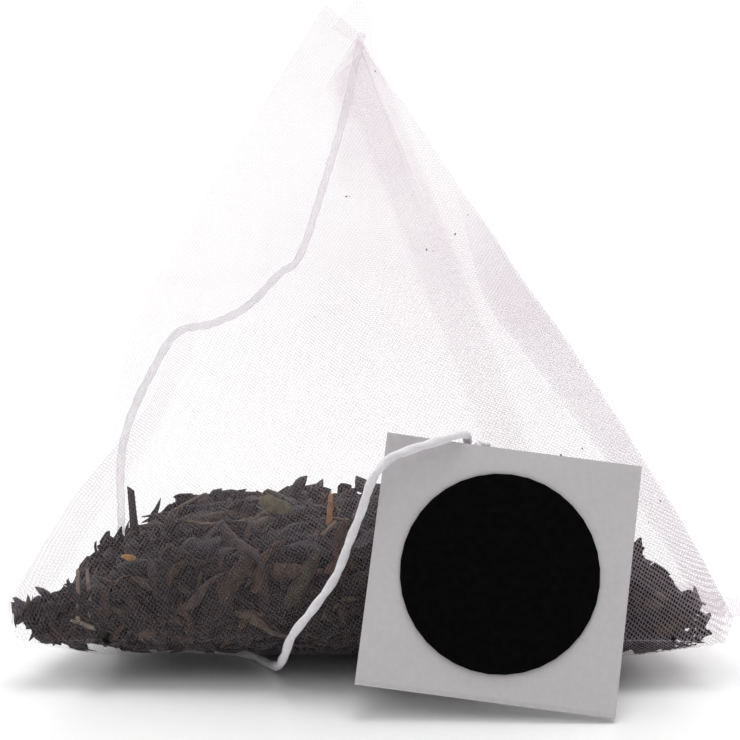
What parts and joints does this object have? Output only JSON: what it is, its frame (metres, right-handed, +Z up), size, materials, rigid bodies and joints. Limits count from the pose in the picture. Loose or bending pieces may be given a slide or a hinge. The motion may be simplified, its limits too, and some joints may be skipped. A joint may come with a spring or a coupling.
{
  "type": "pyramid tea bag",
  "caption": "Pyramid bag of woven see-through film with loose leaf tea, a cotton string and a folded card tag with a round print.",
  "frame": {"origin": "on the surface that the bag stands on, under the middle of the bag's box", "axes": "+Z up, +Y from the face with the tag to the back corner, +X to the right as the tag is read"},
  "size_m": [0.0688, 0.0673, 0.0593],
  "materials": {
    "woven_film": "fine square weave of see-through thread, soft sheen",
    "dark_leaf": "dry rolled tea leaf, matte, near-black brown",
    "brown_leaf": "dry stem and bud, matte, brown to straw",
    "cotton": "twisted white cotton, a little fuzzy",
    "card": "uncoated pale grey card",
    "ink": "flat black print"
  },
  "bodies": {
    "root": {"leaf_bud": "brown_leaf", "leaf_stem_01": "brown_leaf", "leaf_stem_02": "brown_leaf", "leaf_stem_03": "brown_leaf", "leaf_stem_04": "brown_leaf", "leaf_stem_05": "brown_leaf", "mesh_bag": "woven_film", "rolled_leaf_01": "dark_leaf", "rolled_leaf_02": "dark_leaf", "rolled_leaf_03": "dark_leaf", "rolled_leaf_04": "dark_leaf", "rolled_leaf_05": "dark_leaf", "rolled_leaf_06": "dark_leaf", "rolled_leaf_07": "dark_leaf", "rolled_leaf_08": "dark_leaf", "rolled_leaf_09": "dark_leaf", "rolled_leaf_10": "dark_leaf", "rolled_leaf_11": "dark_leaf", "rolled_leaf_12": "dark_leaf", "rolled_leaf_13": "dark_leaf", "string": "cotton", "string_knot": "cotton", "tag": "card", "tag_print": "ink", "tea_bed": "dark_leaf", "upright_twig": "brown_leaf"}
  },
  "joints": []
}
